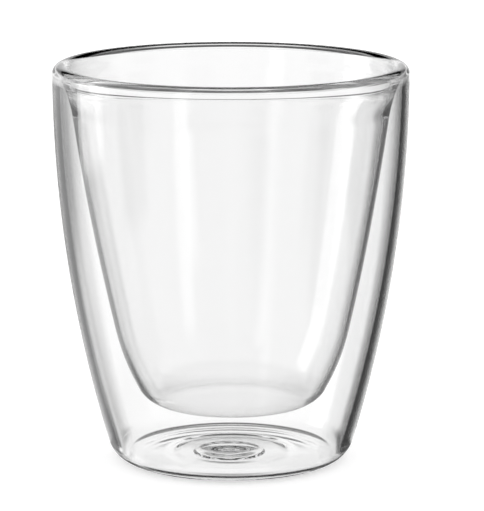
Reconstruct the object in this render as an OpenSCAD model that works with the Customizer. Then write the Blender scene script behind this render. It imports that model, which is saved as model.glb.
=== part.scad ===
// Double walled glass cup: two blown glass walls, fused to each other by a ring at the rim, with
// still air between them. The outer wall's base was closed in a flame, which left ripples and a
// small vent in its middle, and a drop of glass seals the vent. Lengths are in millimetres.
// The cup stands on z = 0 and is turned about the z axis.

/* [Outer wall] */
// Height of the cup, from the table to the top of the rim
cup_h = 95; // [88:1:108]
// Largest outside diameter, just under the rim
mouth_d = 84.2; // [80:0.2:92]
// Outside diameter of the side where it would meet the table if it had no corner
base_d = 56; // [52:0.5:64]
// Radius of the outside corner between side and base
corner_r = 6.2; // [5:0.1:8]
// Radius of the inside corner between side and base
inner_corner_r = 2.7; // [1.5:0.1:4]
// Wall thickness at the top of the side
outer_top_t = 1.7; // [1.3:0.1:2]
// Wall thickness low on the side
outer_low_t = 2.2; // [1.6:0.1:2.8]
// Thickness of the base over the ring that it stands on
base_t = 1.7; // [1.3:0.1:2.4]
// Width of the flat ring that the cup stands on
foot_w = 1.4; // [0.8:0.1:4]
// Height of the hollow under the base, at its centre
pushup_h = 0.8; // [0.2:0.05:1]

/* [Inner wall] */
// Air between the base and the underside of the bowl
under_gap = 12; // [8:0.1:18]
// Air between the two walls where the bowl's flare starts
flare_gap = 2.8; // [2:0.1:5]
// Air between the two walls at the top of the bowl's heel
heel_gap = 6; // [4.5:0.1:10]
// Radius of the tight curve at the bottom of the bowl
toe_r = 7.7; // [5:0.1:11]
// Degrees that the tight curve turns through
toe_turn = 61.5; // [55:0.5:66]
// Radius of the slow curve over it
heel_r = 55; // [35:1:70]
// Degrees that the slow curve turns through
heel_turn = 15.5; // [10:0.5:18]
// Wall thickness on the bowl's side
inner_t = 1; // [0.8:0.1:1.4]
// Wall thickness where the flare starts
inner_top_t = 1.15; // [0.9:0.05:1.6]
// Thickness of the bowl's floor, where the glass was blown thinnest
floor_t = 0.5; // [0.4:0.1:2]
// Height of the flare, from its start up to the rim ring
flare_h = 8.2; // [5:0.2:14]

/* [Rim ring] */
// Height of the ring, from the walls' top edges to the top of the rim
ring_h = 3.8; // [3.5:0.1:5]
// Glass over the top of the air space
crown_t = 1.8; // [1.4:0.1:2.2]
// Width of the air space where the ring starts
groove_w = 0.9; // [0.6:0.1:1.2]
// Thickness of the inner wall where the ring starts
inner_edge_t = 1.55; // [1.2:0.05:2]

/* [Vent] */
// Diameter of the vent hole in the base
vent_d = 5; // [3:0.2:7]
// Diameter of the drop of glass over the vent
drop_d = 17.2; // [12:0.2:20]
// Height of the drop's round crest over the base
drop_h = 0.9; // [0.5:0.1:1.5]
// Diameter of that crest
crest_d = 10.8; // [8:0.2:11.6]
// Depth of the dimple inside the crest
dimple_h = 0.5; // [0.2:0.05:0.8]
// Diameter of the ring of glass round the drop, left by the flame
ripple_d = 28.4; // [26:0.2:36]
// Width of that ring of glass
ripple_w = 4; // [2:0.2:5]
// Height of that ring of glass over the base
ripple_h = 0.25; // [0.1:0.05:0.5]

/* [Hidden] */
$fn = 180;

// How many short lines stand for each curve
corner_steps = 14;
side_steps = 40;
bend_steps = 16;
bump_steps = 12;

// Shares of the air space's width and height that shape its round top
groove_lean_share = 0.9;
// A Bezier curve with both handles this long rises to three quarters of it
arch_share = 4 / 3;
// Share of a Bezier's span that each of its handles takes
handle_share = 0.35;
// The glass tint of each piece, from bare outer glass to the thicker fused places
outer_tint = [0.80, 0.84, 0.86, 0.35];
inner_tint = [0.90, 0.92, 0.93, 0.35];
fused_tint = [0.62, 0.66, 0.69, 0.55];

mouth_r = mouth_d / 2;
// The bead at the top is as wide as both walls' edges and the air space between them
bead_w = outer_top_t + groove_w + inner_edge_t;
bead_r = bead_w / 2;
// The side stands upright where the bead's round top begins
belly_z = cup_h - bead_r;
join_z = cup_h - ring_h;
groove_h = ring_h - crown_t;

// The outer side is one arc, upright at belly_z and through the end of base_d at the table
side_in = mouth_r - base_d / 2;
side_r = (belly_z ^ 2 + side_in ^ 2) / (2 * side_in);
side_c = [mouth_r - side_r, belly_z];
// The corner arc touches the table and, from inside, the side arc
corner_c = [side_c.x + sqrt((side_r - corner_r) ^ 2 - (belly_z - corner_r) ^ 2), corner_r];
corner_turn = atan2(corner_r - belly_z, corner_c.x - side_c.x);
join_turn = asin((join_z - belly_z) / side_r);
// The inside corner touches the base's floor and, from inside, the side arc set back by the wall
in_side_r = side_r - outer_low_t;
in_corner_z = base_t + inner_corner_r;
in_corner_c = [side_c.x + sqrt((in_side_r - inner_corner_r) ^ 2 - (belly_z - in_corner_z) ^ 2), in_corner_z];
in_corner_turn = atan2(in_corner_z - belly_z, in_corner_c.x - side_c.x);
low_z = belly_z + side_r * sin(in_corner_turn);

foot_in_r = corner_c.x - foot_w;
pushup_r = (foot_in_r ^ 2 + pushup_h ^ 2) / (2 * pushup_h);

// Outside radius, thickness and inside radius of the outer wall at height z on its side
function outer_r(z) = side_c.x + sqrt(side_r ^ 2 - (z - belly_z) ^ 2);
function outer_t(z) = outer_low_t + (outer_top_t - outer_low_t) * (z - low_z) / (join_z - low_z);
function outer_in_r(z) = outer_r(z) - outer_t(z);

bowl_z = base_t + under_gap;
flare_z = join_z - flare_h;
// The bowl's heel ends a set gap inside the outer wall, and its underside is what the curves leave
heel_face_a = toe_turn + heel_turn;
heel_z = bowl_z + toe_r * (1 - cos(toe_turn)) + heel_r * (cos(toe_turn) - cos(heel_face_a));
heel_out_r = outer_in_r(heel_z) - heel_gap;
bowl_flat_r = heel_out_r - toe_r * sin(toe_turn) - heel_r * (sin(heel_face_a) - sin(toe_turn));

// The air space and the inner wall's edge, where they meet the ring
groove_out_r = outer_r(join_z) - outer_top_t;
groove_in_r = groove_out_r - groove_w;
inner_edge_r = groove_in_r - inner_edge_t;
// Slope of the inner wall's outside where it meets the ring, as a step out and up
groove_slope = [groove_lean_share * groove_w, arch_share * groove_h];

// A point at distance rad and angle a from centre c, with a kept as the way the surface faces
function facing(c, rad, a) = [c.x + rad * cos(a), c.y + rad * sin(a), a];

// Points on an arc about c from angle a0 to a1
function arc(c, rad, a0, a1, steps) =
    [for (i = [0 : steps]) facing(c, rad, a0 + (a1 - a0) * i / steps)];

// The point t thick behind a surface point
function behind(p, t) = [p.x - t * cos(p[2]), p.y - t * sin(p[2])];

// The unit step along a surface that faces angle a
function along(a) = [-sin(a), cos(a)];

// Points on a Bezier curve with ends p0 and p3 and handles p1 and p2
function bezier(p0, p1, p2, p3, steps) =
    [for (i = [0 : steps]) let (t = i / steps, s = 1 - t)
        s ^ 3 * p0 + 3 * s ^ 2 * t * p1 + 3 * s * t ^ 2 * p2 + t ^ 3 * p3];

// A curve from p0 to p1 that leaves along d0 and arrives along d1
function blend(p0, d0, p1, d1) =
    let (span = norm(p1 - p0) * handle_share)
    bezier(p0, p0 + d0 / norm(d0) * span, p1 - d1 / norm(d1) * span, p1, bend_steps);

function flat(points) = [for (p = points) [p.x, p.y]];
function reversed(points) = [for (i = [len(points) - 1 : -1 : 0]) points[i]];
function tail(points) = [for (i = [1 : len(points) - 1]) points[i]];

// A smooth step from 0 to 1 as s goes from 0 to 1
function ease(s) = (1 - cos(180 * s)) / 2;

// Height of a round ridge of the given crest, radius and width at radius r
function ridge(r, crest_h, at_r, w) = abs(r - at_r) > w / 2 ? 0 : crest_h * cos(180 * (r - at_r) / w) ^ 2;

// The outside of the outer wall: corner arc, then side arc up to the ring
outer_corner = arc(corner_c, corner_r, -90, corner_turn, corner_steps);
outer_side = arc(side_c, side_r, corner_turn, join_turn, side_steps);

// Its inside: the inside corner, then the side arc set back by a wall that thins towards the top
inner_corner = arc(in_corner_c, inner_corner_r, -90, in_corner_turn, corner_steps);
inner_side = [for (p = arc(side_c, side_r, in_corner_turn, join_turn, side_steps)) behind(p, outer_t(p.y))];

// The outside of the bowl: toe arc, heel arc, and a side arc that ends where the flare starts
toe_a = -90 + toe_turn;
heel_a = toe_a + heel_turn;
bowl_toe = arc([bowl_flat_r, bowl_z + toe_r], toe_r, -90, toe_a, bend_steps);
bowl_heel = arc(behind(bowl_toe[bend_steps], heel_r), heel_r, toe_a, heel_a, bend_steps);
heel_end = bowl_heel[bend_steps];
flare_start = [outer_in_r(flare_z) - flare_gap, flare_z];
// The one circle that leaves the heel without a kink and passes through flare_start
bowl_chord = flare_start - flat([heel_end])[0];
heel_face = [cos(heel_a), sin(heel_a)];
bowl_side_r = -(bowl_chord * bowl_chord) / (2 * (bowl_chord * heel_face));
bowl_side_c = behind(heel_end, bowl_side_r);
flare_face = (flare_start - bowl_side_c) / bowl_side_r;
flare_a = atan2(flare_face.y, flare_face.x);
bowl_side = arc(bowl_side_c, bowl_side_r, heel_a, flare_a, side_steps);
flare_out = blend(flare_start, along(flare_a), [groove_in_r, join_z], groove_slope);

// The bowl's wall grows through the toe, and is even up the side
function bowl_t(p) =
    p[2] < toe_a ? floor_t + (inner_t - floor_t) * ease((p[2] + 90) / toe_turn)
    : p.y < heel_end.y ? inner_t
    : inner_t + (inner_top_t - inner_t) * (p.y - heel_end.y) / (flare_z - heel_end.y);
bowl_inside = [for (p = concat(bowl_toe, tail(bowl_heel), tail(bowl_side))) behind(p, bowl_t(p))];
flare_in = blend(bowl_inside[len(bowl_inside) - 1], along(flare_a), [inner_edge_r, join_z], along(0));

// Blown outer wall with its base: standing ring, hollow underside, ripple and open vent
module outer_wall() {
    // The inside's top point is brought level with the outside's, so that the ring sits flat
    top = [groove_out_r, join_z];
    inside = concat(flat(inner_corner), tail(inner_side));
    inner_line = concat([for (p = inside) if (p.y < join_z - outer_top_t) p], [top]);
    ripple_line = [for (i = [0 : bump_steps])
        let (r = ripple_d / 2 - ripple_w / 2 + ripple_w * i / bump_steps)
        [r, base_t + ridge(r, ripple_h, ripple_d / 2, ripple_w)]];
    vent_r = vent_d / 2;
    // The hollow under the base is a shallow round cap
    under_line = [for (i = [0 : bump_steps])
        let (r = vent_r + (foot_in_r - vent_r) * i / bump_steps)
        [r, pushup_h - pushup_r + sqrt(pushup_r ^ 2 - r ^ 2)]];
    color(outer_tint) rotate_extrude()
        polygon(concat(
            flat(outer_corner), flat(tail(outer_side)),
            reversed(inner_line),
            reversed(ripple_line),
            [[vent_r, base_t]],
            under_line));
}

// Blown inner wall: the bowl that holds the drink, with its flare under the rim
module inner_wall() {
    outside = concat([[0, bowl_z]], flat(bowl_toe), flat(tail(bowl_heel)), flat(tail(bowl_side)), tail(flare_out));
    inside = concat([[0, bowl_z + floor_t]], bowl_inside, tail(flare_in));
    color(inner_tint) rotate_extrude()
        polygon(concat(outside, reversed(inside)));
}

// Ring of fused glass on top of both walls: a round bead over the round end of the air space
module rim_ring() {
    outside = arc(side_c, side_r, join_turn, 0, bump_steps);
    bead = arc([mouth_r - bead_r, belly_z], bead_r, 0, 180, 2 * bend_steps);
    inside = [[inner_edge_r, join_z]];
    arch_top = [0, arch_share * groove_h];
    groove = bezier(
        [groove_in_r, join_z],
        [groove_in_r, join_z] + groove_slope,
        [groove_out_r, join_z] + arch_top,
        [groove_out_r, join_z], bend_steps);
    color(fused_tint) rotate_extrude()
        polygon(concat(flat(outside), tail(flat(bead)), inside, groove));
}

// Drop of glass that closes the vent: a round ring with a dimple over a plug that fills the hole
module vent_seal() {
    drop_r = drop_d / 2;
    crest_r = crest_d / 2;
    vent_r = vent_d / 2;
    plug_z = pushup_h - pushup_r + sqrt(pushup_r ^ 2 - vent_r ^ 2);
    // The dimple's floor is a smooth hollow, and the crest falls to the base in a half wave
    dimple_line = [for (i = [0 : bump_steps])
        let (s = i / bump_steps)
        [crest_r * s, base_t + drop_h - dimple_h * cos(90 * s) ^ 2]];
    skirt_line = [for (i = [1 : bump_steps])
        let (s = i / bump_steps)
        [crest_r + (drop_r - crest_r) * s, base_t + drop_h * cos(90 * s)]];
    color(fused_tint) rotate_extrude()
        polygon(concat(
            [[0, pushup_h], [vent_r, plug_z], [vent_r, base_t]],
            reversed(skirt_line),
            reversed(dimple_line)));
}

outer_wall();
inner_wall();
rim_ring();
vent_seal();
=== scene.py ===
# %% [markdown]
# A double walled glass cup is two blown glass walls, melted together at the rim, with still air
# between them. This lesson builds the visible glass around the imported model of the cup. The first
# step loads that model and keeps its box, because the glass has to stay inside it.

# %% Load the frame
import math

import bpy
import numpy as np
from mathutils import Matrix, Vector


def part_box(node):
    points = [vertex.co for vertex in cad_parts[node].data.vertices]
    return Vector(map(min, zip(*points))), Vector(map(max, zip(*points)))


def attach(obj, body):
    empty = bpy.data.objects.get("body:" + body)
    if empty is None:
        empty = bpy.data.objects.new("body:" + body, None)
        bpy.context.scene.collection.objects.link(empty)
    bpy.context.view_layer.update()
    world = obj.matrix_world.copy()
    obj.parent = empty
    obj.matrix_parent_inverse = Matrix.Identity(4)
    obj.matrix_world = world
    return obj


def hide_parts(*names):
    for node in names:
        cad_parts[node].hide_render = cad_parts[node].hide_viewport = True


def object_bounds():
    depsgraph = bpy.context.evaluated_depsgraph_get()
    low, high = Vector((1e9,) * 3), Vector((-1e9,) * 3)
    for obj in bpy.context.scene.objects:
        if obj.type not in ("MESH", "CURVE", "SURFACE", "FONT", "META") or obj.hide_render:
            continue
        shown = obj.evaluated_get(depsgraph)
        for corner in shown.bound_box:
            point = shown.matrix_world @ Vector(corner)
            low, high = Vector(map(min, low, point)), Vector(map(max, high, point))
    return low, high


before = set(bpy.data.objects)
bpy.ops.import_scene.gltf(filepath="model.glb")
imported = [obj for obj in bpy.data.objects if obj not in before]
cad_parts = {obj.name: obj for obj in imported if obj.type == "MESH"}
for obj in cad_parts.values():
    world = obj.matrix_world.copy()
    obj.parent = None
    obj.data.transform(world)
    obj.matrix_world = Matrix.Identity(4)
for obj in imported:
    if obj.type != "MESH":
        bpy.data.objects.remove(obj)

cad_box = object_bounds()
MM = 0.001
cup_h = cad_box[1][2]
mouth_r = cad_box[1][0]
print("cup height and mouth radius in mm:", round(cup_h / MM, 2), round(mouth_r / MM, 2))

# %% [markdown]
# The camera comes first, because every later choice is compared with the photograph. The
# photograph was taken from about eight cup heights away, a little above the rim, with the cup
# left of the middle of the frame. A long lens from there gives the same flat ellipses, and a
# small shift puts the cup in its place without turning the camera.

# %% Camera
FRAME_PX = (484, 511)
axis_px, sight_px = 230.4, 261.0
cup_heights_away = 8
camera_distance = cup_heights_away * cup_h
camera_height = 197 * MM
camera_pitch = math.radians(11.13)
focal_px = 3253.6
sensor_mm = 36

camera = bpy.data.cameras.new("camera")
camera.sensor_fit = "VERTICAL"
camera.sensor_height = sensor_mm
camera.lens = focal_px * sensor_mm / FRAME_PX[1]
camera.shift_x = ((FRAME_PX[0] - 1) / 2 - axis_px) / FRAME_PX[1]
camera.shift_y = (sight_px - (FRAME_PX[1] - 1) / 2) / FRAME_PX[1]
camera_object = bpy.data.objects.new("camera", camera)
camera_object.location = (0, -camera_distance, camera_height)
camera_object.rotation_euler = (math.pi / 2 - camera_pitch, 0, 0)
bpy.context.scene.collection.objects.link(camera_object)
bpy.context.scene.camera = camera_object
print("lens in mm:", round(camera.lens, 1))

# %% [markdown]
# A blown cup is a body of turning, so its glass is a closed outline in the plane of radius and
# height, carried round the axis. The outline is made of arcs and short blends, as a glass mould
# is drawn. Each arc point also keeps the angle that the surface faces, so that the other side of
# the wall can be put a given thickness behind it.

# %% Outline helpers
handle_share = 0.35


def arc(centre, radius, a0, a1, steps):
    """Rows of radius, height and facing angle on an arc about centre, from a0 to a1 in radians."""
    a = np.linspace(a0, a1, steps + 1)
    return np.stack([centre[0] + radius * np.cos(a), centre[1] + radius * np.sin(a), a], 1)


def behind(points, thickness):
    """The points a thickness behind arc rows: each moves against the way that it faces."""
    facing = np.stack([np.cos(points[:, 2]), np.sin(points[:, 2])], 1)
    return points[:, :2] - np.reshape(thickness, (-1, 1)) * facing


def along(a):
    """The unit step along a surface that faces angle a."""
    return np.array([-math.sin(a), math.cos(a)])


def bezier(p0, p1, p2, p3, steps):
    """Points on a cubic Bezier curve: the four points mixed by the cubic Bernstein weights."""
    t = np.linspace(0, 1, steps + 1)[:, None]
    s = 1 - t
    return s**3 * p0 + 3 * s**2 * t * p1 + 3 * s * t**2 * p2 + t**3 * p3


def blend(p0, d0, p1, d1, steps):
    """A curve from p0 to p1 that leaves along d0 and arrives along d1.

    Both handles are handle_share of the straight distance from p0 to p1.
    """
    p0, p1, d0, d1 = (np.array(v, float) for v in (p0, p1, d0, d1))
    span = np.linalg.norm(p1 - p0) * handle_share
    leave, arrive = d0 / np.linalg.norm(d0), d1 / np.linalg.norm(d1)
    return bezier(p0, p0 + leave * span, p1 - arrive * span, p1, steps)


def ease(s):
    """A smooth step from 0 to 1: half a cosine wave."""
    return (1 - np.cos(np.pi * np.clip(s, 0, 1))) / 2


# %% [markdown]
# These are the real sizes of the glass. What the frame knows, such as the height of the seam
# under the rim or the underside of the bowl, is read from its nodes. Wall thicknesses and the
# radii of the curves are set here, in real millimetres.

# %% Sizes
join_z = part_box("rim_ring")[0][2]
bowl_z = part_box("inner_wall")[0][2]
drop_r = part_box("vent_seal")[1][0]

# The outer wall: its base, its corner outside and inside, its thicknesses, and its underside
base_r = 28 * MM
corner_r, inner_corner_r = 6.2 * MM, 2.7 * MM
outer_top_t, outer_low_t, base_t = 1.7 * MM, 2.2 * MM, 1.7 * MM
foot_w = 1.4 * MM
pushup_h = 0.8 * MM

# The bowl: the arcs of its toe and heel, its thicknesses, and its gaps to the outer wall
toe_r, heel_r = 7.7 * MM, 55 * MM
toe_turn, heel_turn = math.radians(61.5), math.radians(15.5)
inner_t, inner_top_t, floor_t = 1.0 * MM, 1.15 * MM, 0.5 * MM
heel_gap, flare_gap = 6.0 * MM, 2.8 * MM
flare_h = 8.2 * MM

# The rim ring: the glass over the air space, the width of that space, and the glass inside it
crown_t = 1.8 * MM
groove_w, inner_edge_t = 0.9 * MM, 1.55 * MM

# The middle of the base: the vent, the drop that closes it, and the ripple round the drop
vent_r = 2.5 * MM
crest_r, crest_h, dimple_h = 8.0 * MM, 0.4 * MM, 1.2 * MM
ripple_r, ripple_w, ripple_h = 14.2 * MM, 4 * MM, 0.2 * MM

bead_r = (outer_top_t + groove_w + inner_edge_t) / 2
belly_z = cup_h - bead_r
flare_z = join_z - flare_h
groove_h = cup_h - crown_t - join_z
print("seam height, bowl underside in mm:", round(join_z / MM, 2), round(bowl_z / MM, 2))

# %% [markdown]
# The outer wall's side is one long arc that stands upright at the rim. A wide corner arc joins it
# to the table and a tighter one rounds it inside, so the glass is thickest in the corner, where it
# gathers while the base is closed. The same lines serve every piece, so pieces that are melted
# together share their edges exactly.

# %% Outer wall's two skins
CORNER_STEPS, SIDE_STEPS = 22, 64

side_in = mouth_r - base_r
side_r = (belly_z**2 + side_in**2) / (2 * side_in)
side_c = np.array([mouth_r - side_r, belly_z])
join_turn = math.asin((join_z - belly_z) / side_r)


def corner_centre(arc_r, wall_r, z):
    """Radius at which a corner arc centred at height z touches a side arc of wall_r from inside."""
    return side_c[0] + math.sqrt((wall_r - arc_r) ** 2 - (belly_z - z) ** 2)


corner_x = corner_centre(corner_r, side_r, corner_r)
corner_turn = math.atan2(corner_r - belly_z, corner_x - side_c[0])
outer_corner = arc((corner_x, corner_r), corner_r, -math.pi / 2, corner_turn, CORNER_STEPS)
outer_side = arc(side_c, side_r, corner_turn, join_turn, SIDE_STEPS)

in_corner_z = base_t + inner_corner_r
in_corner_x = corner_centre(inner_corner_r, side_r - outer_low_t, in_corner_z)
in_corner_turn = math.atan2(in_corner_z - belly_z, in_corner_x - side_c[0])
inner_corner = arc((in_corner_x, in_corner_z), inner_corner_r, -math.pi / 2, in_corner_turn, CORNER_STEPS)
side_skin = arc(side_c, side_r, in_corner_turn, join_turn, SIDE_STEPS)
rise = (side_skin[:, 1] - side_skin[0, 1]) / (join_z - side_skin[0, 1])
inner_side = behind(side_skin, outer_low_t + (outer_top_t - outer_low_t) * rise)

groove_out_r = side_c[0] + side_r * math.cos(join_turn) - outer_top_t
groove_in_r = groove_out_r - groove_w
inner_edge_r = groove_in_r - inner_edge_t
outer_inside = np.concatenate([inner_corner[:, :2], inner_side[1:]])
below_seam = outer_inside[:, 1] < join_z - outer_top_t
outer_inside = np.concatenate([outer_inside[below_seam], [[groove_out_r, join_z]]])
print("radius in mm of the side's arc:", round(side_r / MM, 1))

# %% [markdown]
# The bowl has a tight toe, a slow heel and a long side that flares out under the rim until it
# nearly meets the outer wall. It has no diameter of its own: its heel and the foot of its flare
# lie a given gap from the outer wall's inside, so it follows that wall.

# %% Bowl's two skins
HEEL_STEPS, BOWL_STEPS, FLARE_STEPS = 20, 48, 20
groove_lean_share = 0.9
arch_handle = 4 / 3


def outer_inside_r(z):
    """Radius of the outer wall's inside at height z."""
    return np.interp(z, outer_inside[:, 1], outer_inside[:, 0])


full_turn = toe_turn + heel_turn
heel_rise = toe_r * (1 - math.cos(toe_turn)) + heel_r * (math.cos(toe_turn) - math.cos(full_turn))
heel_run = toe_r * math.sin(toe_turn) + heel_r * (math.sin(full_turn) - math.sin(toe_turn))
bowl_flat_r = outer_inside_r(bowl_z + heel_rise) - heel_gap - heel_run

toe_a = -math.pi / 2 + toe_turn
heel_a = toe_a + heel_turn
bowl_toe = arc((bowl_flat_r, bowl_z + toe_r), toe_r, -math.pi / 2, toe_a, CORNER_STEPS)
bowl_heel = arc(behind(bowl_toe[-1:], heel_r)[0], heel_r, toe_a, heel_a, HEEL_STEPS)

# The side is the arc that goes on from the heel without a bend and ends at the flare's foot.
flare_start = np.array([outer_inside_r(flare_z) - flare_gap, flare_z])
chord = flare_start - bowl_heel[-1, :2]
bowl_side_r = -(chord @ chord) / (2 * chord @ np.array([math.cos(heel_a), math.sin(heel_a)]))
bowl_side_c = behind(bowl_heel[-1:], bowl_side_r)[0]
flare_face = (flare_start - bowl_side_c) / bowl_side_r
flare_a = math.atan2(flare_face[1], flare_face[0])
bowl_side = arc(bowl_side_c, bowl_side_r, heel_a, flare_a, BOWL_STEPS)

# The flare arrives at the seam with the slope of the air space's round top. That top is an arch
# on two Bezier handles, which are 4/3 as high as the arch.
groove_slope = np.array([groove_lean_share * groove_w, arch_handle * groove_h])
flare_out = blend(flare_start, along(flare_a), (groove_in_r, join_z), groove_slope, FLARE_STEPS)

bowl_skin = np.concatenate([bowl_toe, bowl_heel[1:], bowl_side[1:]])
toe_share = (bowl_skin[:, 2] + math.pi / 2) / toe_turn
side_share = np.clip((bowl_skin[:, 1] - bowl_heel[-1, 1]) / (flare_z - bowl_heel[-1, 1]), 0, 1)
bowl_t = floor_t + (inner_t - floor_t) * ease(toe_share) + (inner_top_t - inner_t) * side_share
bowl_inside = behind(bowl_skin, bowl_t)
flare_in = blend(bowl_inside[-1], along(flare_a), (inner_edge_r, join_z), along(0), FLARE_STEPS)
print("radius in mm of the bowl's flat floor:", round(bowl_flat_r / MM, 2))

# %% [markdown]
# A turned mesh is a grid: the outline in one direction and the angle in the other, worked out as
# whole arrays. An outline that touches the axis ends in a single point there, so that the mesh is
# closed.

# %% Faces of a turned grid
TURNS = 360


def side_faces(bands, count):
    """Four-sided faces: ring i at angles j and j + 1, then the next ring at j + 1 and j."""
    i = np.arange(bands)[:, None]
    j = np.arange(TURNS)[None, :]
    above, beside = (i + 1) % count, (j + 1) % TURNS
    corners = (i * TURNS + j, i * TURNS + beside, above * TURNS + beside, above * TURNS + j)
    return np.stack(np.broadcast_arrays(*corners), -1).reshape(-1, 4).tolist()


def end_faces(count):
    """Triangles from the first ring and the last to the two axis points, which follow all rings."""
    j = np.arange(TURNS)
    beside = (j + 1) % TURNS
    top = (count - 1) * TURNS
    first, last = np.full(TURNS, count * TURNS), np.full(TURNS, count * TURNS + 1)
    return np.stack([first, beside, j], 1).tolist() + np.stack([top + j, top + beside, last], 1).tolist()


# %% [markdown]
# Where two pieces are melted together there is no surface in the real glass, so the faces of such
# a seam get their own material. Its edges are sharp, which keeps the skins smooth up to it.

# %% Turning an outline into a mesh
def mark_seams(mesh, band_of, seams, corners, skipped):
    """Slot 1 on the bands of seams, smooth faces, and sharp edges on the rings named in corners."""
    slots = np.zeros(len(mesh.polygons), int)
    for start, end in seams:
        slots[(band_of >= start) & (band_of < end)] = 1
    mesh.polygons.foreach_set("material_index", slots)
    mesh.polygons.foreach_set("use_smooth", np.ones(len(mesh.polygons), bool))
    pairs = np.empty(len(mesh.edges) * 2, int)
    mesh.edges.foreach_get("vertices", pairs)
    ring_of = pairs.reshape(-1, 2) // TURNS + skipped
    sharp = (ring_of[:, 0] == ring_of[:, 1]) & np.isin(ring_of[:, 0], np.array(list(corners), int))
    mesh.attributes.new("sharp_edge", "BOOLEAN", "EDGE").data.foreach_set("value", sharp)


def turned(name, outline, seams=(), corners=(), sway=None):
    """A closed mesh of the outline (rows of radius and height, inside on the left) turned about z.

    x is radius times cosine of the angle and y is radius times sine. seams are (first, last)
    outline indices of melted faces, corners are indices of sharp rings, and sway is a function
    of x, y and z arrays that returns them moved, for hand made unevenness.
    """
    on_axis = outline[0, 0] == 0
    skipped = 1 if on_axis else 0
    rings = outline[1:-1] if on_axis else outline
    count = len(rings)
    bands = count - skipped
    angle = np.linspace(0, 2 * np.pi, TURNS, endpoint=False)
    x = rings[:, :1] * np.cos(angle)
    y = rings[:, :1] * np.sin(angle)
    z = np.repeat(rings[:, 1:], TURNS, 1)
    if sway:
        x, y, z = sway(x, y, z)
    points = np.stack([x, y, z], -1).reshape(-1, 3)
    faces = side_faces(bands, count)
    band_of = np.repeat(np.arange(bands) + skipped, TURNS)
    if on_axis:
        ends = [[x[k].mean(), y[k].mean(), z[k].mean()] for k in (0, -1)]
        points = np.concatenate([points, ends])
        faces += end_faces(count)
        band_of = np.concatenate([band_of, np.zeros(TURNS, int), np.full(TURNS, len(outline) - 2)])
    mesh = bpy.data.meshes.new(name)
    mesh.from_pydata(points.tolist(), [], faces)
    mark_seams(mesh, band_of, seams, corners, skipped)
    mesh.validate()
    piece = bpy.data.objects.new(name, mesh)
    bpy.context.scene.collection.objects.link(piece)
    print(name, "faces:", len(mesh.polygons))
    return piece


def joined(parts):
    """The outline made of the given parts, and the index at which each part starts."""
    starts = np.cumsum([0] + [len(part) for part in parts])
    return np.concatenate([part[:, :2] for part in parts]), starts


# %% [markdown]
# Borosilicate glass, blown and then polished by the flame, is clear and has no grain. What shows
# is where it bends and mirrors the room, so its refractive index of 1.47 matters most. A faint
# waviness from blowing keeps reflections from being perfect: waves one or two centimetres across
# and a few tall, too shallow to feel. The melted seams are fully transparent, so light passes from
# one piece to the next as if the glass were one.

# %% Node helpers
def linear(hex_colour):
    """An sRGB hex colour such as 'f4f6f6' as linear red, green, blue and an alpha of 1.

    Dark values are divided by 12.92. The others get 0.055 added, are divided by 1.055 and raised
    to the power of 2.4.
    """
    s = np.array([int(hex_colour[k:k + 2], 16) for k in (0, 2, 4)]) / 255
    return (*np.where(s <= 0.04045, s / 12.92, ((s + 0.055) / 1.055) ** 2.4), 1.0)


def add(tree, kind, settings=(), **links):
    """A new node of a kind. settings are its properties; links give each input a value or a socket.

    An input goes by its name, with _ for a space, or by its number, as i0, i1 and so on.
    """
    node = tree.nodes.new(kind)
    for key, value in dict(settings).items():
        setattr(node, key, value)
    for key, value in links.items():
        numbered = key[0] == "i" and key[1:].isdigit()
        socket = node.inputs[int(key[1:]) if numbered else key.replace("_", " ")]
        if isinstance(value, bpy.types.NodeSocket):
            tree.links.new(value, socket)
        else:
            socket.default_value = value
    return node


def new_material(name):
    """An empty node material, its node tree and its output node."""
    material = bpy.data.materials.new(name)
    material.use_nodes = True
    tree = material.node_tree
    tree.nodes.clear()
    return material, tree, tree.nodes.new("ShaderNodeOutputMaterial")


# %% Glass
GLASS_INDEX = 1.47
wave_stretch = (1, 1, 0.35)
wave_depth = 0.1 * MM


def blown_glass(name, tint, wave_length, wave_strength):
    """Clear borosilicate: a faint tint, and shallow waves of a given length from blowing."""
    material, tree, output = new_material(name)
    place = add(tree, "ShaderNodeTexCoord")
    stretch = add(tree, "ShaderNodeMapping", Vector=place.outputs["Object"], Scale=wave_stretch)
    waves = add(tree, "ShaderNodeTexNoise", Vector=stretch.outputs[0], Scale=1 / wave_length, Detail=1.0)
    bump = add(tree, "ShaderNodeBump", Height=waves.outputs[0], Strength=wave_strength, Distance=wave_depth)
    glass = add(tree, "ShaderNodeBsdfPrincipled", Base_Color=linear(tint), Roughness=0.0, IOR=GLASS_INDEX,
                Transmission_Weight=1.0, Normal=bump.outputs[0])
    tree.links.new(glass.outputs[0], output.inputs[0])
    return material


def melted_seam():
    """No surface at all: where two pieces are one glass, light goes straight on."""
    material, tree, output = new_material("melted_seam")
    clear = add(tree, "ShaderNodeBsdfPrincipled", Base_Color=linear("ffffff"), Alpha=0.0)
    tree.links.new(clear.outputs[0], output.inputs[0])
    return material


# The thick outer wall: slow, faint waves, and almost no tint.
outer_glass = blown_glass("borosilicate_blown_outer", "fdfdfd", 18 * MM, 0.12)
# The thin bowl: its waves are closer and a little stronger, and it takes a trace more light.
inner_glass = blown_glass("borosilicate_blown_inner", "fbfbfb", 14 * MM, 0.15)
# The rim ring and the drop, rounded by the flame: the shortest waves, and the lowest.
fused_glass = blown_glass("borosilicate_fire_polished", "fcfcfc", 10 * MM, 0.10)
seam = melted_seam()
print("materials:", outer_glass.name, inner_glass.name, fused_glass.name, seam.name)

# %% [markdown]
# The base is made last, in a flame. The underside is pushed up a little, so that the cup stands on
# a ring, and a low ripple is left on top, round the middle where the glass was closed.

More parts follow.
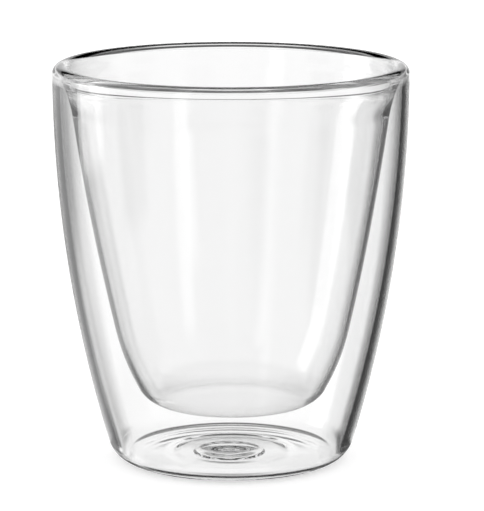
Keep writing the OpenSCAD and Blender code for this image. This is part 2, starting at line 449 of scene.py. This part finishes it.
# %% Underside and ripple
def pushup(r):
    """Height of the hollow underside at radius r: a shallow round cap inside the standing ring."""
    foot_in = corner_x - foot_w
    cap_r = (foot_in**2 + pushup_h**2) / (2 * pushup_h)
    cap = pushup_h - cap_r + np.sqrt(cap_r**2 - np.minimum(r, foot_in) ** 2)
    return np.where(r < foot_in, cap, 0.0)


def ripple(r):
    """Height of the flame's ring on the base at radius r: one wave of a squared cosine."""
    off = np.clip((r - ripple_r) / ripple_w, -0.5, 0.5)
    return ripple_h * np.cos(np.pi * off) ** 2


print("height in mm of the underside at the vent:", round(float(pushup(vent_r)) / MM, 3))

# %% [markdown]
# No blown cup is perfectly round. The bowl hangs a little off centre inside the outer wall. The
# middle of the base was closed by hand, so the drop there sits a little to the front left, and
# the ripple round it is high at the back and nearly gone at the front. Pieces that are melted
# together move by the same rule, so they still meet.

# %% Hand made unevenness
bowl_offset = 0.4 * MM
drop_offset = np.array([-0.4, -1.6]) * MM
front_share = 0.1
# Points this close to the base's upper line are taken to lie on it.
hair = 0.01 * MM


def hang_bowl(x, y, z):
    """The bowl moves to one side by bowl_offset at its bottom, which eases to nothing at the rim."""
    down = ease((join_z - z) / (join_z - bowl_z))
    return x + bowl_offset * down, y, z


def shift_drop(x, y, z):
    """The drop and the base under it move by drop_offset, which eases to nothing at the ripple."""
    calm_r = ripple_r - ripple_w / 2
    near = ease((calm_r - np.hypot(x, y)) / (calm_r - drop_r))
    return x + drop_offset[0] * near, y + drop_offset[1] * near, z


def uneven_base(x, y, z):
    """The ripple sinks from its whole height at the back to front_share of it, and the drop moves."""
    r = np.hypot(x, y)
    lost = (1 - front_share) * ease((1 - y / r) / 2)
    on_floor = np.abs(z - base_t - ripple(r)) < hair
    return shift_drop(x, y, np.where(on_floor, z - lost * ripple(r), z))


print("bowl and drop off centre in mm:", bowl_offset / MM, (drop_offset / MM).tolist())

# %% [markdown]
# The outer wall's outline runs up the outside, over its top edge, down the inside and across the
# base to the open vent, then back under the base to the ring that it stands on.

# %% Outer wall
FLOOR_STEPS, UNDER_STEPS = 49, 25

floor_r = np.linspace(outer_inside[0, 0], drop_r, FLOOR_STEPS + 1)[1:]
floor_line = np.stack([floor_r, base_t + ripple(floor_r)], 1)
seat_line = np.array([[vent_r, base_t], [vent_r, float(pushup(vent_r))]])
under_r = np.linspace(vent_r, corner_x, UNDER_STEPS + 1)[1:-1]
under_line = np.stack([under_r, pushup(under_r)], 1)
outline, starts = joined([outer_corner, outer_side[1:], outer_inside[::-1],
                          floor_line, seat_line, under_line])
top_i = starts[2] - 1
seat_i = starts[4] - 1
outer_wall = turned("outer_wall_glass", outline, seams=[(top_i, top_i + 1), (seat_i, seat_i + 2)],
                    corners=[top_i, top_i + 1, seat_i, seat_i + 1, seat_i + 2], sway=uneven_base)

# %% [markdown]
# The bowl's outline starts under the middle of its floor, runs up its outside and the flare, over
# the edge, and down the inside to the floor again. The inside is set back by the wall's
# thickness, which is least in the floor, where the breath stretched the glass most.

# %% Inner wall
AXIS_STEPS = 7

under_r = np.linspace(0, bowl_flat_r, AXIS_STEPS + 1)[:-1]
under_bowl = np.stack([under_r, np.full(AXIS_STEPS, bowl_z)], 1)
floor_r = np.linspace(bowl_inside[0, 0], 0, AXIS_STEPS + 1)[1:]
bowl_floor = np.stack([floor_r, np.full(AXIS_STEPS, bowl_z + floor_t)], 1)
outline, starts = joined([under_bowl, bowl_skin, flare_out[1:],
                          flare_in[:0:-1], bowl_inside[::-1], bowl_floor])
edge_i = starts[3] - 1
inner_wall = turned("inner_wall_glass", outline, seams=[(edge_i, edge_i + 1)],
                    corners=[edge_i, edge_i + 1], sway=hang_bowl)

# %% [markdown]
# The rim ring is a round bead, as wide as both walls and the air between them. The air space ends
# inside it in a narrow round top, which shows in the glass as a fine line under the rim.

# %% Rim ring
RING_STEPS, BEAD_STEPS, GROOVE_STEPS = 10, 64, 32

ring_out = arc(side_c, side_r, join_turn, 0, RING_STEPS)
bead = arc((mouth_r - bead_r, belly_z), bead_r, 0, math.pi, BEAD_STEPS)[1:]
ring_z = np.linspace(belly_z, join_z, RING_STEPS + 1)[1:]
ring_in = np.stack([np.full(RING_STEPS, inner_edge_r), ring_z], 1)
groove_in, groove_out = np.array([groove_in_r, join_z]), np.array([groove_out_r, join_z])
groove_rise = np.array([0, groove_slope[1]])
groove = bezier(groove_in, groove_in + groove_slope, groove_out + groove_rise, groove_out, GROOVE_STEPS)
outline, starts = joined([ring_out, bead, ring_in, groove])
in_i, out_i = starts[3] - 1, starts[4] - 1
rim_ring = turned("rim_ring_glass", outline, seams=[(in_i, in_i + 1), (out_i, out_i + 1)],
                  corners=[in_i, in_i + 1, out_i, 0])

# %% [markdown]
# The vent in the base is closed by a drop of glass. Its edge is a low round crest, and inside the
# crest it sank into a wide dimple. It sits on the base and fills the hole under it.

# %% Vent seal
DROP_STEPS = 24

share = np.linspace(0, 1, DROP_STEPS + 1)
wave = np.cos(share * np.pi / 2)
skirt = np.stack([crest_r + (drop_r - crest_r) * share, base_t + crest_h * wave], 1)
dimple = np.stack([crest_r * share, base_t + crest_h - dimple_h * wave**2], 1)
plug = np.array([[0, pushup_h], [vent_r, float(pushup(vent_r))], [vent_r, base_t]])
outline, starts = joined([plug, skirt[::-1], dimple[-2::-1]])
vent_seal = turned("vent_seal_glass", outline, seams=[(1, starts[1])],
                   corners=[1, 2, starts[1]], sway=shift_drop)

# %% [markdown]
# Each piece stands for its node, which is hidden, takes its glass and the seam's material, and rides on the
# one body.

# %% Dress the frame
for piece, node, slot_name, skin in (
        (outer_wall, "outer_wall", "outer_glass", outer_glass),
        (inner_wall, "inner_wall", "inner_glass", inner_glass),
        (rim_ring, "rim_ring", "rim_glass", fused_glass),
        (vent_seal, "vent_seal", "seal_glass", fused_glass)):
    piece.data.materials.append(skin)
    piece.data.materials.append(seam)
    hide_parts(node)
    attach(piece, "root")
    print(piece.name, "stands for", node)

# %% [markdown]
# Clear glass has no colour of its own, so its look is the look of the room. The world is that
# room. It is drawn on the sphere of directions, by two angles: the bearing, clockwise from
# straight behind the cup, and the height over the horizon.

# %% World directions
WHITE = (1, 1, 1, 1)

world = bpy.data.worlds.new("studio")
bpy.context.scene.world = world
world.use_nodes = True
tree = world.node_tree
tree.nodes.clear()
look = add(tree, "ShaderNodeSeparateXYZ", Vector=add(tree, "ShaderNodeTexCoord").outputs["Generated"])


def calc(operation, *values):
    """The socket of one Math node on the given sockets or numbers."""
    return add(tree, "ShaderNodeMath", {"operation": operation},
               **{f"i{k}": value for k, value in enumerate(values)}).outputs[0]


def mix(share, first, second):
    """The socket of one Mix node: first where share is 0 and second where it is 1."""
    return add(tree, "ShaderNodeMix", {"data_type": "FLOAT"}, i0=share, i2=first, i3=second).outputs[0]


bearing = calc("DEGREES", calc("ARCTAN2", look.outputs[0], look.outputs[1]))
height = calc("DEGREES", calc("ARCSINE", look.outputs[2]))

# %% [markdown]
# A photographer lights glass with cards. A white card behind the cup fills it with light, and
# dark cards beside that one draw its edges, because the rim and the sides bend the light of the
# flanks to the eye. Black ones over and under it draw the fine lines of the rim and the base. The
# right flank is darker than the left, which has a window of its own. A bright softbox far to the
# left whitens the left side too, and its mirror image is the white strip on the right of the
# bowl. The bar across it keeps a dark edge on the cup when it is seen from the right. The flanks
# in front do the same for the views from the right and from behind, and the strip light adds a
# few faint glints. Each card is a rectangle of the two angles with a soft edge, and a later card
# covers an earlier one.

# %% Card helpers
def within(angle, first, last, edge):
    """1 between the first and last degree and 0 outside, by a smooth step that is edge wide."""
    half = (last - first) / 2
    off = calc("ABSOLUTE", calc("SUBTRACT", angle, (first + last) / 2))
    return add(tree, "ShaderNodeMapRange", {"interpolation_type": "SMOOTHSTEP"}, Value=off,
               From_Min=half + edge / 2, From_Max=half - edge / 2, To_Min=0.0, To_Max=1.0).outputs[0]


def card(room, level, bearings, heights, edge):
    """The room with one card of the given level over it."""
    there = calc("MULTIPLY", within(bearing, *bearings, edge), within(height, *heights, edge))
    return mix(there, room, level)


# %% Cards
room_level = 0.95
# Each has its level, its first and last bearing, its lowest and highest height, and its edge.
cards = {
    "front left flank": (0.20, (-122, -102), (-20, -2.5), 3),
    "front left strip light": (1.80, (-152, -143), (-32, 33), 4),
    "front right flank, outer": (0.35, (103, 121), (-28, -2), 6),
    "front right flank, inner": (0.60, (149, 167), (-28, -2), 12),
    "left flank, low": (0.36, (-64, -6), (-95, -8), 4),
    "left flank, high": (0.66, (-72, 0), (-2, 20), 8),
    "left flank, inner": (0.24, (-50, -5), (-34, -8), 6),
    "right flank, low": (0.28, (6, 76), (-95, -6), 3),
    "right flank, high": (0.45, (-10, 88), (-7, 20), 5),
    "black board overhead": (0.00, (-63, 63), (16, 60), 3),
    "right flank, inner": (0.05, (16, 48), (-50, -6), 8),
    "back left window": (1.00, (-58, -38), (-38, -16), 6),
    "window behind the cup": (1.04, (-13, 14), (-22, 16), 10),
    "slit above the window": (0.95, (-10, 7), (16, 48), 4),
    "dark floor all round": (0.20, (-180, 180), (-95, -43), 4),
    "black floor behind": (0.00, (-66, 110), (-95, -43), 4),
    "bar under the window": (0.05, (-40, 26), (-35, -23), 4),
    "softbox, foot": (1.30, (-87, -66), (-28, -13), 4),
    "softbox, bar": (0.10, (-80, -58), (-9, -1), 2),
    "softbox, lower panel": (2.60, (-87, -64), (-14, -8), 2),
    "softbox, upper panel": (3.00, (-87, -64), (-1.5, 26), 2),
}
room = room_level
for level, bearings, heights, edge in cards.values():
    room = card(room, level, bearings, heights, edge)
print("cards in the room:", len(cards))

# %% [markdown]
# The camera sees plain white behind the cup. Mirrored and bent rays see the cards, and so the
# white one behind the cup, which shows through the glass as the same white. The paint of the
# table is lit by an even white room.

# %% World light
path = add(tree, "ShaderNodeLightPath")
in_glass = calc("MAXIMUM", path.outputs["Is Glossy Ray"], path.outputs["Is Transmission Ray"])
around = mix(in_glass, 1.0, room)
seen = mix(path.outputs["Is Camera Ray"], around, 1.0)
backdrop = add(tree, "ShaderNodeBackground", Color=WHITE, Strength=seen)
tree.links.new(backdrop.outputs[0], add(tree, "ShaderNodeOutputWorld").inputs[0])
print("nodes in the world:", len(tree.nodes))

# %% [markdown]
# The table is plain white. To the camera it is white paint with a little glow, so that it keeps
# the cup's soft shadow and still reads as white. Rays inside the glass pass through it to the
# cards, because the cards reach below the table's edge too. It lies a tenth of a millimetre under
# the cup, so that the ring that the cup stands on keeps a surface of its own.

# %% Floor
floor_half, floor_z = 3000 * MM, -0.1 * MM
floor_glow = 0.45

corners = [(x * floor_half, y * floor_half, floor_z) for x, y in ((-1, -1), (1, -1), (1, 1), (-1, 1))]
floor_mesh = bpy.data.meshes.new("floor")
floor_mesh.from_pydata(corners, [], [(0, 1, 2, 3)])
floor = bpy.data.objects.new("floor", floor_mesh)
bpy.context.scene.collection.objects.link(floor)
table, tree, output = new_material("white_table")
paint = add(tree, "ShaderNodeBsdfDiffuse", Color=linear("f0f0f0"))
glow = add(tree, "ShaderNodeEmission", Color=WHITE, Strength=floor_glow)
lit = add(tree, "ShaderNodeAddShader", i0=paint.outputs[0], i1=glow.outputs[0])
path = add(tree, "ShaderNodeLightPath")
clear = add(tree, "ShaderNodeBsdfTransparent")
shown = add(tree, "ShaderNodeMixShader", i0=path.outputs["Is Camera Ray"],
            i1=clear.outputs[0], i2=lit.outputs[0])
tree.links.new(shown.outputs[0], output.inputs[0])
floor_mesh.materials.append(table)
print("floor is", 2 * floor_half, "m wide")

# %% [markdown]
# Light crosses eight glass surfaces to pass through the cup, and more where it is trapped in a
# wall, so the renderer has to follow it for many turns.

# %% Render needs
glass_turns, mirror_turns = 40, 20

scene = bpy.context.scene
scene.view_settings.view_transform = "Standard"
scene.cycles.max_bounces = glass_turns
scene.cycles.transmission_bounces = glass_turns
scene.cycles.transparent_max_bounces = glass_turns
scene.cycles.glossy_bounces = mirror_turns
print("light is followed for", glass_turns, "turns")
